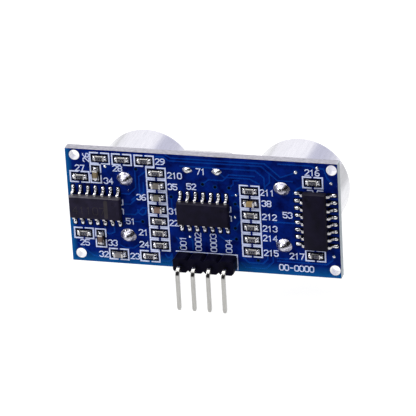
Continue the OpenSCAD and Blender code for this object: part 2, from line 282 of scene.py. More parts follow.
class Tree:
    """A node tree, with short ways to add what the looks here share."""

    def __init__(self, tree):
        self.tree = tree
        self.coords = tree.nodes.new("ShaderNodeTexCoord")

    def feed(self, node, inputs):
        """Gives a node's inputs constants or the outputs of other nodes."""
        for key, value in inputs.items():
            socket = node.inputs[key]
            if isinstance(value, bpy.types.NodeSocket):
                self.tree.links.new(value, socket)
            else:
                socket.default_value = (*value, 1) if socket.type == "RGBA" else value

    def add(self, kind, inputs, **settings):
        node = self.tree.nodes.new(kind)
        for key, value in settings.items():
            setattr(node, key, value)
        self.feed(node, inputs)
        return node

    def math(self, operation, first, second):
        return self.add("ShaderNodeMath", {0: first, 1: second}, operation=operation).outputs[0]

    def remap(self, value, low, high, to_low=0.0, to_high=1.0, **settings):
        ends = {"Value": value, "From Min": low, "From Max": high, "To Min": to_low, "To Max": to_high}
        return self.add("ShaderNodeMapRange", ends, **settings).outputs["Result"]

    def blend(self, factor, first, second):
        """Mix of two colours."""
        mix = self.add("ShaderNodeMix", {"Factor": factor, 6: first, 7: second}, data_type="RGBA")
        return mix.outputs[2]


class Nodes(Tree):
    """The nodes of a new material."""

    def __init__(self, name, roughness, metallic=0.0, specular=0.5, tint=(1, 1, 1)):
        self.material = bpy.data.materials.new(name)
        self.material.use_nodes = True
        super().__init__(self.material.node_tree)
        self.shader = self.tree.nodes["Principled BSDF"]
        self.shade({"Roughness": roughness, "Metallic": metallic})
        self.shade({"Specular IOR Level": specular, "Specular Tint": tint})

    def shade(self, inputs):
        self.feed(self.shader, inputs)

    def colour(self, output):
        self.shade({"Base Color": output})

    def roughness(self, output):
        self.shade({"Roughness": output})

    def place(self, stretch=(1, 1, 1), turn=0.0):
        """Object coordinates in millimetres, stretched along the row's axes and turned about Z."""
        return self.add("ShaderNodeMapping", {
            "Vector": self.coords.outputs["Object"],
            "Scale": [s / MM for s in stretch],
            "Rotation": (0, 0, turn),
        }).outputs["Vector"]

    def axis(self, letter, turn=0.0):
        return self.add("ShaderNodeSeparateXYZ", {"Vector": self.place(turn=turn)}).outputs[letter]

    def noise(self, scale, detail=3.0, rough=0.5, stretch=(1, 1, 1)):
        """Noise with the given number of features per millimetre."""
        inputs = {"Vector": self.place(stretch), "Scale": scale, "Detail": detail, "Roughness": rough}
        return self.add("ShaderNodeTexNoise", inputs).outputs["Fac"]

    def ramp(self, factor, *stops):
        """Colour ramp through (position, colour) stops."""
        node = self.add("ShaderNodeValToRGB", {"Fac": factor})
        ramp = node.color_ramp
        while len(ramp.elements) < len(stops):
            ramp.elements.new(0.5)
        for element, (position, colour) in zip(ramp.elements, stops):
            element.position = position
            element.color = (*colour, 1)
        return node.outputs["Color"]

    def bump(self, height, depth):
        """Relief of the given depth in millimetres."""
        relief = self.add("ShaderNodeBump", {"Strength": 1.0, "Distance": depth * MM, "Height": height})
        self.shade({"Normal": relief.outputs["Normal"]})


def scaled(colour, factor):
    return tuple(channel * factor for channel in colour)


def laminate():
    """Cut glass laminate: pale, with layers of cloth showing along its edges."""
    nodes = Nodes("laminate", 0.7, specular=0.3)
    layers = nodes.noise(1.0, 5.0, 0.65, stretch=(1.6, 7.0, 1.6))
    body = nodes.ramp(
        layers, (0.32, (0.15, 0.16, 0.19)), (0.5, (0.33, 0.32, 0.36)), (0.7, (0.44, 0.43, 0.47)),
    )
    low = box_mm("circuit_board")[0]
    cut = nodes.remap(nodes.axis("X"), low.x + 0.15, low.x + 0.02, 0.0, 0.8)
    nodes.colour(nodes.blend(cut, body, (0.66, 0.74, 0.78)))
    nodes.bump(layers, 0.05)
    return nodes.material


def solder_mask(name, deep, light):
    """Glossy blue lacquer with faint flow marks; towards the board's +X end and lower edge its colour is
    lightened, a painted reflection.
    """
    nodes = Nodes(name, 0.3, specular=0.08, tint=(0.1, 0.3, 1.0))
    flow = nodes.noise(0.5, 6.0, 0.68)
    body = nodes.ramp(flow, (0.34, deep), (0.64, light))
    low, high, _ = box_mm("circuit_board")
    # Painted reflection: the colour is lightened towards the +X end and the lower edge of the board, on every
    # sheet that uses this lacquer.
    sheen_x = nodes.remap(nodes.axis("X"), high.x - 1.1, high.x - 0.2)
    sheen_z = nodes.remap(nodes.axis("Z"), low.z + 2.0, low.z + 0.1, 0.0, 0.85)
    rim = nodes.math("MULTIPLY", nodes.math("MAXIMUM", sheen_x, sheen_z), 0.8)
    nodes.colour(nodes.blend(rim, body, (0.004, 0.11, 0.34)))
    nodes.roughness(nodes.remap(nodes.noise(2.5, 4.0), 0.3, 0.7, 0.26, 0.36))
    nodes.bump(nodes.noise(3.0, 4.0, 0.6), 0.006)
    return nodes.material


def legend_ink():
    """White printed ink, a little uneven in cover."""
    nodes = Nodes("legend_ink", 0.55, specular=0.3)
    cover = nodes.noise(5.0, 5.0, 0.65)
    nodes.colour(nodes.ramp(
        cover, (0.32, (0.46, 0.52, 0.8)), (0.5, (0.66, 0.73, 0.98)), (0.75, (0.78, 0.83, 1.0)),
    ))
    nodes.bump(cover, 0.01)
    return nodes.material


def metal(name, dark, bright, roughness, scale, depth, stretch=(1, 1, 1), spread=0.08, edge=1.0):
    """Bare or plated metal with a fine grain. An edge below 1 dulls it at grazing angles."""
    nodes = Nodes(name, roughness, metallic=1.0, tint=(edge, edge, edge))
    grain = nodes.noise(scale, 5.0, 0.6, stretch)
    nodes.colour(nodes.ramp(grain, (0.3, dark), (0.7, bright)))
    nodes.roughness(nodes.remap(grain, 0.3, 0.7, roughness + spread, max(roughness - spread, 0.03)))
    nodes.bump(grain, depth)
    return nodes.material


def moulded(name, colour, roughness, specular, scale=14.0, depth=0.01, vary=0.35):
    """Moulded plastic or epoxy with a fine matt grain."""
    nodes = Nodes(name, roughness, specular=specular)
    grain = nodes.noise(scale, 6.0, 0.7)
    patches = nodes.noise(0.6, 3.0, 0.5)
    nodes.colour(nodes.ramp(patches, (0.3, scaled(colour, 1 - vary)), (0.7, scaled(colour, 1 + vary))))
    nodes.roughness(nodes.remap(grain, 0.3, 0.7, roughness - 0.06, roughness + 0.08))
    nodes.bump(grain, depth)
    return nodes.material


def fired(name, colour, roughness=0.5):
    """Fired ceramic: fine speckle and a slightly mottled tone."""
    nodes = Nodes(name, roughness, specular=0.4)
    speckle = nodes.noise(9.0, 6.0, 0.7)
    dark, bright = scaled(colour, 0.62), scaled(colour, 1.25)
    nodes.colour(nodes.ramp(speckle, (0.3, dark), (0.5, colour), (0.72, bright)))
    nodes.bump(speckle, 0.012)
    return nodes.material


def make_materials():
    return {
        "laminate": laminate(),
        "mask": solder_mask("mask", (0.0001, 0.0006, 0.048), (0.0005, 0.014, 0.19)),
        "track": solder_mask("mask_over_copper", (0.0006, 0.02, 0.21), (0.0012, 0.045, 0.285)),
        # Painted shade round the parts and leads, given to the mask openings.
        "opening_shade": moulded("mask_opening_shade", (0.0022, 0.0032, 0.011), 0.6, 0.03, 6.0, 0.006, 0.4),
        "ink": legend_ink(),
        "solder": metal("solder", (0.46, 0.46, 0.5), (0.9, 0.9, 0.93), 0.09, 1.9, 0.09, spread=0.04),
        "joint": metal("joint_solder", (0.16, 0.15, 0.2), (0.8, 0.79, 0.88), 0.09, 2.3, 0.1, spread=0.05),
        "tin": metal("tin_plate", (0.36, 0.35, 0.36), (0.66, 0.65, 0.66), 0.2, 2.4, 0.06),
        "sleeve": metal("hole_plating", (0.8, 0.8, 0.82), (0.95, 0.95, 0.96), 0.3, 3.0, 0.02),
        "pin": metal("pin_plate", (0.38, 0.375, 0.36), (0.47, 0.465, 0.45), 0.16, 6.0, 0.004,
                     stretch=(1, 1, 0.12), spread=0.05),
        "can": metal("can_aluminium", (0.76, 0.76, 0.8), (0.84, 0.84, 0.87), 0.2, 2.2, 0.004,
                     stretch=(1, 0.1, 1), spread=0.05, edge=0.86),
        "cone": metal("cone_aluminium", (0.7, 0.7, 0.73), (0.84, 0.84, 0.87), 0.35, 4.0, 0.006),
        "wire": metal("screen_wire", (0.42, 0.42, 0.44), (0.66, 0.66, 0.68), 0.3, 8.0, 0.004),
        "steel": metal("nickel_steel", (0.6, 0.6, 0.6), (0.76, 0.76, 0.75), 0.26, 5.0, 0.004, (0.3, 1, 1)),
        "brass": metal("brass_sheet", (0.6, 0.44, 0.2), (0.78, 0.6, 0.3), 0.3, 5.0, 0.005),
        "copper": metal("copper_wire", (0.55, 0.25, 0.12), (0.75, 0.38, 0.2), 0.3, 8.0, 0.003),
        "piezo": fired("piezo_ceramic", (0.62, 0.58, 0.46)),
        "silicone": moulded("silicone", (0.62, 0.62, 0.6), 0.6, 0.4, 6.0, 0.01, 0.1),
        "resin": moulded("base_resin", (0.03, 0.024, 0.022), 0.55, 0.4),
        "epoxy": moulded("chip_epoxy", (0.0056, 0.0044, 0.015), 0.5, 0.07, 16.0, 0.012, 0.35),
        "worn_epoxy": moulded("worn_epoxy", (0.014, 0.0115, 0.027), 0.55, 0.07, 12.0, 0.014, 0.35),
        # Lighter flank materials: a painted highlight of the top lamp, given to the chips' upward-facing
        # faces.
        "flank": moulded("chip_flank_highlight", (0.012, 0.01, 0.02), 0.5, 0.16, 5.0, 0.01, 0.45),
        "worn_flank_highlight": moulded("worn_flank_highlight", (0.046, 0.041, 0.056), 0.5, 0.5, 9.0, 0.014, 0.55),
        "header": moulded("header_plastic", (0.0028, 0.0024, 0.01), 0.36, 0.035, 10.0, 0.008, 0.3),
        "marking": moulded("laser_marking", (0.029, 0.0245, 0.03), 0.6, 0.12, 9.0, 0.006, 0.25),
        "quartz": fired("quartz_blank", (0.7, 0.74, 0.76), 0.15),
        "resistor": moulded("resistor_coat", (0.0085, 0.0075, 0.01), 0.35, 0.1, 7.0, 0.008, 0.5),
        "alumina": fired("alumina", (0.62, 0.6, 0.58)),
        "code": moulded("resistor_print", (0.23, 0.23, 0.29), 0.6, 0.2),
        # Painted shade: near-black discs that stand in for the open via holes.
        "hole": moulded("via_hole_shade", (0.0006, 0.0015, 0.004), 0.6, 0.02),
        "via": solder_mask("mask_over_via", (0.001, 0.01, 0.1), (0.002, 0.038, 0.2)),
    }


def paint(node, material):
    """Gives a CAD node that stays in view its material."""
    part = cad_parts[node]
    part.data.materials.clear()
    part.data.materials.append(material)


# ---- board

# Centres of the mounting holes, on a pattern of 42.5 x 17.5 mm.
HOLES = [(sx * 42.5 / 2, sz * 17.5 / 2) for sx in (-1, 1) for sz in (-1, 1)]


def make_mask(name, place, sign, material):
    """Thin sheet of mask over one face, open at the mounting holes."""
    low, high, _ = box_mm("circuit_board")
    inset, opening = 0.02, 0.89
    left, right = sorted((sign * low.x, sign * high.x))
    left, right, bottom, top = left + inset, right - inset, low.z + inset, high.z - inset
    rings = [[(left, bottom), (right, bottom), (right, top), (left, top)]]
    rings += [[(x + opening * cos(t), z + opening * sin(t)) for t in turn_steps(40)] for x, z in HOLES]
    curve = bpy.data.curves.new(name, "CURVE")
    curve.dimensions = "2D"
    curve.fill_mode = "BOTH"
    curve.extrude = MASK_T * MM / 2
    for ring in rings:
        spline = curve.splines.new("POLY")
        spline.points.add(len(ring) - 1)
        spline.use_cyclic_u = True
        for point, (x, z) in zip(spline.points, ring):
            point.co = (x * MM, z * MM, 0, 1)
    flat = add_object(name + "_curve", curve)
    mesh = evaluated_mesh(flat)
    bpy.data.objects.remove(flat)
    mesh.transform(Matrix.Scale(MM, 4) @ moved(place, 0, 0, MASK_T / 2) @ Matrix.Scale(1 / MM, 4))
    mesh.materials.clear()
    mesh.materials.append(material)
    face_outwards(mesh, merge=1e-7)
    settle(name, mesh)


def make_hole_plating(mats):
    """Tinned sleeves inside the mounting holes."""
    outer, inner, rim = 0.872, 0.84, 0.02
    section = [(outer, FRONT - BACK), (outer, rim), (inner, rim), (inner, FRONT - BACK)]
    shape = Shape()
    for x, z in HOLES:
        lathe(shape, section, on_back(x, z), 48)
    shape.build("mounting_hole_plating", [mats["sleeve"]], "board")


# Tracks on the back, as seen from behind: width, then the corners of the line.
BACK_TRACKS = [
    (0.25, (-19, 9.3), (-6.2, 9.3), (-5.4, 8.7), (9.8, 8.7), (12.4, 6.4), (14.8, 6.4)),
    (0.25, (-5.9, 9.7), (-5, 9.2), (10.4, 9.2), (12.9, 7), (15.4, 8)),
    (0.25, (-3.6, 7.9), (8.8, 7.9), (10.2, 6.7), (10.2, 4.9)),
    (0.25, (2.6, 7.3), (3.6, 6.4), (7.8, 6.4), (9.4, 5.6)),
    (0.25, (0, 5), (1, 5.8), (3.4, 5.8), (4.4, 6.9), (8.6, 6.9)),
    (0.25, (4.36, 4.6), (5.1, 5.3), (5.1, 5.9), (6, 6)),
    (0.25, (-12, 1.4), (-10.6, 2.7), (-10.6, 5.6), (-9.5, 6.5)),
    (0.25, (-13.6, 0.6), (-12.3, 0.6), (-9.9, 3), (-9.9, 4.6)),
    (0.25, (-13.6, -1.2), (-11.6, -1.2), (-10.3, 0.1), (-9.3, 0.1)),
    (0.25, (-13.6, 2.4), (-12.4, 2.4), (-11.2, 3.6), (-11.2, 6.9)),
    (0.3, (-11.1, -0.3), (-10.9, -0.9), (-10.4, -1.2), (-9.9, -0.9), (-9.7, -0.3)),
    (0.25, (-13.5, -2.5), (-10.4, -2.4)),
    (0.25, (-16.9, -3.8), (-16.9, -4.6), (-16.2, -5), (-15.3, -4.6), (-15.3, -3.4)),
    (0.25, (-21.6, -6.9), (-20.6, -7.9), (-19.2, -9), (-17.6, -9.3)),
    (0.25, (-14.4, -6.9), (-13.6, -7.3), (-12.2, -7.2), (-11.4, -6.6)),
    (0.25, (-7.5, -9.2), (-6.3, -9.2), (-5.8, -8.6), (-5.8, -7.8)),
    (0.3, (-6.9, -8), (-6.6, -8.5), (-6.1, -8.5), (-5.9, -8)),
    (0.25, (-5.34, 2.4), (-5.34, 0.6), (-4.6, -0.1)),
    (0.25, (-4.9, -4.8), (-4.3, -5.4), (-4.3, -6.6)),
    (0.25, (-2.6, -4.5), (-2.2, -5.2), (-2.2, -6.8)),
    (0.25, (5.3, 1.9), (6, 1.2), (6, -0.9), (5.1, -2.4)),
    (0.25, (4.7, 3.3), (5.5, 3.4), (6, 3.9)),
    (0.25, (5.1, -4.4), (3.2, -4.6), (2.3, -3.9)),
    (0.25, (10.3, 4.5), (10.3, 5.2), (11.1, 6), (11.1, 7.4)),
    (0.25, (11.6, -0.9), (15.4, -0.9)),
    (0.25, (14.8, 4.2), (15.6, 5.2), (16.4, 5.6)),
    (0.25, (6.1, -7.5), (7, -8.4), (9.4, -8.4), (10.2, -7.6), (10.2, -5.8)),
    (0.25, (5.8, -8.6), (6.6, -9.3), (9.8, -9.3), (11.1, -8), (11.1, -7.2)),
    (0.25, (11.8, -7.3), (16.6, -7.3), (17.4, -8)),
    (0.25, (11.8, -7.8), (20, -7.8), (20.9, -7), (20.9, -6.4)),
    (0.25, (18.9, 9), (20, 8.9), (20.5, 7.4), (21.1, 6.6)),
    (0.25, (12.6, 9.3), (17.9, 9.3), (18.7, 9)),
]
# Tracks on the front, as seen from the front.
FRONT_TRACKS = [
    (0.3, (-3.81, -7.6), (-3.81, -6), (-2.6, -4.8), (-2.6, 2.2), (-3.8, 3.6)),
    (0.3, (-1.27, -7.6), (-1.27, -3.6), (-1.9, -2.9), (-1.9, 3.4), (-1.1, 4.4)),
    (0.3, (1.27, -7.6), (1.27, -4.4), (0.6, -3.7), (0.6, 3.8)),
    (0.5, (3.81, -7.6), (3.81, -5.8), (2.6, -4.6), (2.6, 3.8), (3.6, 4.6)),
    (0.3, (-0.6, -2.6), (-0.6, 0.6), (0, 1.3), (0, 4.2)),
    (0.3, (-6.5, 9.2), (-7.6, 9.2), (-8.4, 8.6)),
    (0.3, (-21.6, 6.6), (-21.9, 5.8), (-21.9, -5.6), (-21.3, -6.6)),
    (0.3, (21.8, 6.6), (22.1, 5.8), (22.1, -5.6), (21.5, -6.6)),
    (0.3, (6.4, 9.3), (8, 9.3), (8.6, 8.8)),
    (0.3, (6, -9.2), (16, -9.2), (18.4, -8.6)),
    (0.3, (-6, -9.3), (-15.6, -9.3), (-18.4, -8.6)),
]
# Vias on the back, as seen from behind. Some are open, the others are filled with solder.
OPEN_VIAS = [
    (-11, 6.9), (-10.4, -2.35), (-5.35, 2.4), (-5.1, 6.3), (0, 4.95), (2.05, 4.6), (4.35, 4.6),
    (5.25, 1.85), (5.05, -2.45), (5.15, -4.35), (8.6, -7.9), (-4.3, -6.6), (10.3, 4.4),
]
FILLED_VIAS = [
    (-16.15, 7, 0.24), (-2.6, -4.5, 0.22), (5.45, 3.4, 0.2), (5.05, -0.5, 0.22), (15.4, 8.05, 0.3),
    (18.9, 9, 0.25), (21.1, 6.5, 0.24), (21.15, -6.3, 0.26), (-12.5, 3, 0.06),
]


def make_tracks(mats):
    for face, tracks, place in (("back", BACK_TRACKS, on_back(0, 0)), ("front", FRONT_TRACKS, on_front(0, 0))):
        shape = Shape()
        for i, (width, *points) in enumerate(tracks):
            strip(shape, points, width, TRACK_TOP + 0.0004 * i, place, base=FOOT)
        shape.build(f"board_tracks_{face}", [mats["track"]], "board", sharp=20)


def make_vias(mats):
    """Mask-coated rings round dark discs that are painted shade in place of open holes, and vias closed with a
    bead of solder, on both faces.
    """
    rings, holes, beads = Shape(), Shape(), Shape()
    for x, z in OPEN_VIAS:
        for place in [on_back(-x, z)] + [on_front(-x, z)] * (abs(x) < 4.9):
            lathe(rings, [(0.22, FOOT), (0.22, 0.05), (0.26, VIA_TOP),
                          (0.36, VIA_TOP), (0.42, FOOT)], place, 24)
            # Painted shade: a dark closed disc sits on each open via in place of a real hole.
            lathe(holes, [(0.27, FOOT), (0.26, 0.064)], place, 20, loop=False)
    for x, z, r in FILLED_VIAS:
        place = on_back(-x, z)
        if r > 0.1:
            lathe(rings, [(r - 0.03, FOOT), (r - 0.03, PAD_TOP), (r + 0.08, VIA_TOP),
                          (r + 0.15, FOOT)], place, 24)
        dome = [(r * cos(t), MASK_T + 0.6 * r * sin(t)) for t in (0, 0.35, 0.7, 1.05, 1.35)]
        lathe(beads, dome, place, 20, loop=False)
    rings.build("board_via_rings", [mats["via"]], "board")
    holes.build("board_via_holes", [mats["hole"]], "board")
    beads.build("board_via_beads", [mats["solder"]], "solder", sharp=60)


# ---- legend

# Strokes of the legend's digits on a grid 4 wide and 6 high.
DIGITS = {
    "0": [[(0, 1), (0, 5), (1, 6), (3, 6), (4, 5), (4, 1), (3, 0), (1, 0)]],
    "1": [[(0.8, 4.8), (2, 6), (2, 0)]],
    "2": [[(0, 5), (1, 6), (3, 6), (4, 5), (4, 4), (0, 0), (4, 0)]],
    "3": [[(0, 5), (1, 6), (3, 6), (4, 5), (4, 4), (3, 3.1), (4, 2), (4, 1), (3, 0), (1, 0), (0, 1)]],
    "4": [[(3, 0), (3, 6), (0, 2), (4, 2)]],
    "5": [[(4, 6), (0, 6), (0, 3.5), (3, 3.5), (4, 2.5), (4, 1), (3, 0), (1, 0), (0, 1)]],
    "6": [[(3.5, 6), (2, 6), (0, 4), (0, 1), (1, 0), (3, 0), (4, 1), (4, 2), (3, 3), (0.3, 3)]],
    "7": [[(0, 6), (4, 6), (1.5, 0)]],
    "8": [[(1, 3), (0, 4), (0, 5), (1, 6), (3, 6), (4, 5), (4, 4), (3, 3)],
          [(1, 3), (0, 2), (0, 1), (1, 0), (3, 0), (4, 1), (4, 2), (3, 3)]],
    "9": [[(0.5, 0), (2, 0), (4, 2), (4, 5), (3, 6), (1, 6), (0, 5), (0, 4), (1, 3), (3.7, 3)]],
    "-": [[(0.5, 3), (3.5, 3)]],
}
CLOSED_DIGITS = "08"
GRID_W, GRID_H = 4, 6

# Numbers on the back, as seen from behind: text, across, up.
BACK_NUMBERS = [
    ("27", -20.45, 6.5), ("28", -14.1, 6.8), ("29", -6.9, 8.45), ("34", -15.75, 4.5),
    ("210", -4.6, 6.15), ("35", -5.05, 4.15), ("36", -10.4, 1.97), ("31", -5.15, -0.2),
    ("51", -12.45, -2.45), ("22", -5.15, -2.25), ("21", -10.4, -4.3), ("24", -10.4, -6.45),
    ("25", -20.5, -6.8), ("33", -15.75, -6.55), ("32", -17.4, -8.7), ("23", -12.1, -8.7),
    ("52", -1.9, 4.4), ("71", -0.2, 7.15), ("211", 10.6, 4.15), ("38", 10.4, 2.25), ("212", 10.8, -0.1),
    ("213", 10.8, -2.15), ("214", 10.75, -3.85), ("215", 10.8, -6.45), ("53", 13.8, 0.45),
    ("216", 18.1, 8.15), ("217", 15.05, -6.7), ("00-0000", 14.9, -8.85),
]
PIN_NUMBERS = ("001", "0002", "0003", "004")
PIN_PITCH = 2.54
NUMBER_H = 0.96
NUMBER_ADVANCE = 0.83
STROKE = 0.18


class Legend:
    """Ink on one face. Each stroke is a hair higher than the last, so that none share a plane."""

    def __init__(self, place, shape=None):
        self.place = place
        self.shape = shape or Shape()
        self.count = 0

    def line(self, points, width, closed=False):
        self.count += 1
        top = INK_TOP + 0.0007 * (self.count % 9)
        strip(self.shape, points, width, top, self.place, base=FOOT, closed=closed)

    def number(self, text, x, z, quarter=0, stroke=STROKE, advance=NUMBER_ADVANCE):
        unit = NUMBER_H / GRID_H
        turn = Matrix.Rotation(quarter * pi / 2, 2)
        start = -(len(text) - 1) * advance / 2
        for i, digit in enumerate(text):
            for points in DIGITS[digit]:
                left, low = start + i * advance - GRID_W / 2 * unit, -GRID_H / 2 * unit
                spots = [turn @ Vector((left + px * unit, low + pz * unit)) for px, pz in points]
                self.line([(x + p.x, z + p.y) for p in spots], stroke, digit in CLOSED_DIGITS)

    def bracket(self, x, z, length, height, upright):
        """Two brackets round a small part, open in the middle of its long sides."""
        width, gap = 0.25, 0.28
        half_l, half_h = (length - width) / 2, (height - width) / 2
        for side in (-1, 1):
            middle, end = side * gap, side * half_l
            corners = [(middle, half_h), (end, half_h), (end, -half_h), (middle, -half_h)]
            if upright:
                corners = [(b, a) for a, b in corners]
            self.line([(x + a, z + b) for a, b in corners], width)


def chip_outline(legend, name):
    """End line of a chip's outline with its half-round notch, at the first lead's end."""
    _, length, _, _ = part_frame(f"{name}_chip_body")
    low, high, centre = box_mm(f"{name}_chip_body")
    end, reach, notch = length / 2 + 0.12, 1.25, 0.42
    arch = [(end - notch * cos(t), notch * sin(t)) for t in map(radians, range(90, -91, -30))]
    path = [(end, reach), (end, notch + 0.1)] + arch + [(end, -notch - 0.1), (end, -reach)]
    if high.z - low.z > high.x - low.x:
        path = [(-b, a) for a, b in path]
    legend.line([(-centre.x + a, centre.z + b) for a, b in path], 0.2)


def make_legend(mats):
    back = Legend(on_back(0, 0))
    for node in SMALL_PARTS:
        low, high, centre = box_mm(node)
        upright = high.z - low.z > high.x - low.x
        back.bracket(-centre.x, centre.z, 3.44, 1.95 if upright else 2.1, upright)
    for name in CHIPS:
        chip_outline(back, name)
    low, high, centre = box_mm("header_housing")
    edge = 0.03
    right, top = edge - low.x, edge + high.z
    back.line([(-high.x, top), (right, top), (right, low.z - edge)], 0.2)
    back.number("26", -19.3, 8.4, quarter=1)
    for text, x, z in BACK_NUMBERS:
        back.number(text, x, z)
    for i, text in enumerate(PIN_NUMBERS):
        length = len(text) * NUMBER_ADVANCE
        back.number(text, (i - 1.5) * PIN_PITCH, high.z + 0.3 + length / 2, 1, stroke=0.15)
    back.shape.build("board_legend_back", [mats["ink"]], "board", sharp=20)

    front = Legend(on_front(0, 0))
    for side in SIDES:
        middle, radius = box_mm(f"{side}_can")[2].x, 8.25
        front.line([(middle + radius * cos(t), radius * sin(t)) for t in turn_steps(72)], 0.2, True)
    for i in range(4):
        front.number(str(4 - i), (i - 1.5) * PIN_PITCH, high.z + 0.75)
    front.number("1", -21.3, 6.4)
    front.number("2", 21.4, 6.4)
    front.line([(-5.25, -9.75), (-5.25, -7.25), (5.25, -7.25), (5.25, -9.75)], 0.2)
    front.shape.build("board_legend_front", [mats["ink"]], "board", sharp=20)


# ---- transducers

def make_can(side, mats):
    """Drawn can: straight wall, round front edge turned in over the screen."""
    low, high, centre = box_mm(f"{side}_can")
    radius = (high.x - low.x) / 2
    height = FRONT - low.y
    wall, edge, opening = 0.4, 0.5, 6.4
    outer = arc((radius - edge, height - edge), edge, 0, 90, 12)
    lip = arc((opening + 0.12, height - 0.12), 0.12, 90, 180, 4)
    inner_lip = arc((opening + 0.12, height - wall + 0.12), 0.12, 180, 270, 4)
    inner = arc((radius - edge, height - edge), edge - wall, 90, 0, 8)
    foot = [(radius - wall, 0.0), (radius - 0.05, 0.0), (radius, 0.05)]
    shape = Shape()
    lathe(shape, foot + outer + lip + inner_lip + inner, on_front(centre.x, centre.z), 160)
    shape.build(f"{side}_can_shell", [mats["can"]], "can_aluminium", [f"{side}_can"], sharp=40)


def make_screen(side, mats):
    """Plain-woven wire screen in a flat rim, under the can's turned-in edge."""
    low, high, centre = box_mm(f"{side}_screen")
    rim_r = (high.x - low.x) / 2
    mid = FRONT - (low.y + high.y) / 2
    pitch, wire_r, wave = 0.62, 0.1, 0.085
    reach = rim_r - 0.5
    place = on_front(centre.x, centre.z)
    shape = Shape()
    count = int(reach / pitch)
    for j in range(-count, count + 1):
        offset = j * pitch
        half = sqrt(reach ** 2 - offset ** 2)
        steps = max(4, int(2 * half / pitch * 3))
        for crossing in (0, 1):
            woven = turned(place, crossing * pi / 2)
            rings = []
            for i in range(steps + 1):
                along = -half + 2 * half * i / steps
                height = mid + wave * cos(pi * (along / pitch + j + crossing))
                rings.append([
                    (along, offset + wire_r * cos(t), height + wire_r * sin(t)) for t in turn_steps(6)
                ])
            shape.loft(rings, woven)
    bore, half_t = reach - 0.15, (high.y - low.y) / 2
    section = ((bore, -1), (bore, 1), (rim_r, 1), (rim_r, -1))
    lathe(shape, [(r, mid + end * half_t) for r, end in section], place)
    shape.build(f"{side}_woven_screen", [mats["wire"]], "screen_wire", [f"{side}_screen"], sharp=60)


# ---- crystal

def stadium(length, width, height):
    """Ring with two straight sides and round ends."""
    return rounded(length, width, height, width / 2, steps=14)


def make_crystal(mats):
    low, high, centre = box_mm("crystal_can")
    base_low, base_high, _ = box_mm("crystal_base")
    place = on_front(centre.x, centre.z)
    length, width = high.x - low.x, high.z - low.z
    top, foot = FRONT - low.y, FRONT - high.y
    edge, flare = 0.5, 0.16
    rings = [stadium(length + 2 * flare, width + 2 * flare, foot), stadium(length, width, foot + flare)]
    for i in range(9):
        t = pi / 2 * i / 8
        inset = edge * (1 - cos(t))
        rings.append(stadium(length - 2 * inset, width - 2 * inset, top - edge + edge * sin(t)))
    can = Shape()
    can.loft(rings, place)
    can.build("crystal_can_shell", [mats["steel"]], "crystal_steel", ["crystal_can"], sharp=40)
    flange_l, flange_w = base_high.x - base_low.x, base_high.z - base_low.z
    flange = Shape()
    bevel = 0.12
    levels = [(1, 0.0), (0.25, 0.4 * bevel), (0, bevel)]
    levels += [(inset, foot - h) for inset, h in reversed(levels)]
    flange.loft([
        stadium(flange_l - 2 * bevel * inset, flange_w - 2 * bevel * inset, h) for inset, h in levels
    ], place)
    flange.build("crystal_flange", [mats["steel"]], "crystal_steel", ["crystal_base"], sharp=50)


# ---- header

def make_header(mats):
    """Moulded strip with cut corners between the pins and soft edges."""
    low, high, centre = box_mm("header_housing")
    half, side = PIN_PITCH / 2, (high.z - low.z) / 2
    cut, depth = 0.4, high.y - low.y
    upper = [(-2 * PIN_PITCH, side - cut)]
    for i in range(4):
        mid = (i - 1.5) * PIN_PITCH
        upper += [(mid - half + cut, side), (mid + half - cut, side), (mid + half, side - cut)]
    lower = [(x, -z) for x, z in reversed(upper)]
    outline = lower[-1:] + upper + lower[:-1]
    shape = Shape()
    shape.loft([[(x, z, h) for x, z in outline] for h in (0.0, depth)], on_back(centre.x, centre.z))
    piece = shape.build("header_strip", [mats["header"]], "header_plastic", ["header_housing"], sharp=30)
    bevel = piece.modifiers.new("edges", "BEVEL")
    bevel.width = 0.09 * MM
    bevel.segments = 3
    bevel.limit_method = "ANGLE"
    bevel.angle_limit = radians(25)
    bevel.harden_normals = True


def pin_rings(drop, out, front):
    """Sections of one bent pin: front tip, round the bend, lower tip."""
    side, bend = 0.64, 1.15
    stations = [(-front, 0.0, 90, 0.55), (-front + 0.18, 0.0, 90, 0.9), (-front + 0.3, 0.0, 90, 1.0)]
    for angle in range(90, -1, -10):
        t = radians(angle)
        stations.append((out - bend + bend * cos(t), -bend + bend * sin(t), angle, 1.0))
    stations += [(out, -0.5 * drop, 0, 1.0), (out, 0.6 - drop, 0, 1.0), (out, 0.4 - drop, 0, 0.97)]
    stations += [(out, 0.18 - drop, 0, 0.84), (out, 0.05 - drop, 0, 0.68), (out, -drop, 0, 0.56)]
    rings = []
    for depth, height, angle, scale in stations:
        t = radians(angle)
        across = Vector((cos(t), sin(t)))
        ring = rounded(side * scale, side * scale, 0.0, 0.09 * scale, 3)
        rings.append([(a, height + b * across.y, depth + b * across.x) for a, b, _ in ring])
    return rings


def make_pins(mats):
    low, high, _ = box_mm("header_pins")
    row = box_mm("header_housing")[2].z
    out = high.y - BACK - 0.32
    shape = Shape()
    for i in range(4):
        x = (i - 1.5) * PIN_PITCH
        shape.loft(pin_rings(row - low.z, out, BACK - low.y), on_back(x, row))
    shape.build("header_bent_pins", [mats["pin"]], "header_pin", ["header_pins"], sharp=50)


# ---- chips

LEAD_PITCH, LEAD_ROOT, LEAD_TOE = 1.27, 1.95, 3.0


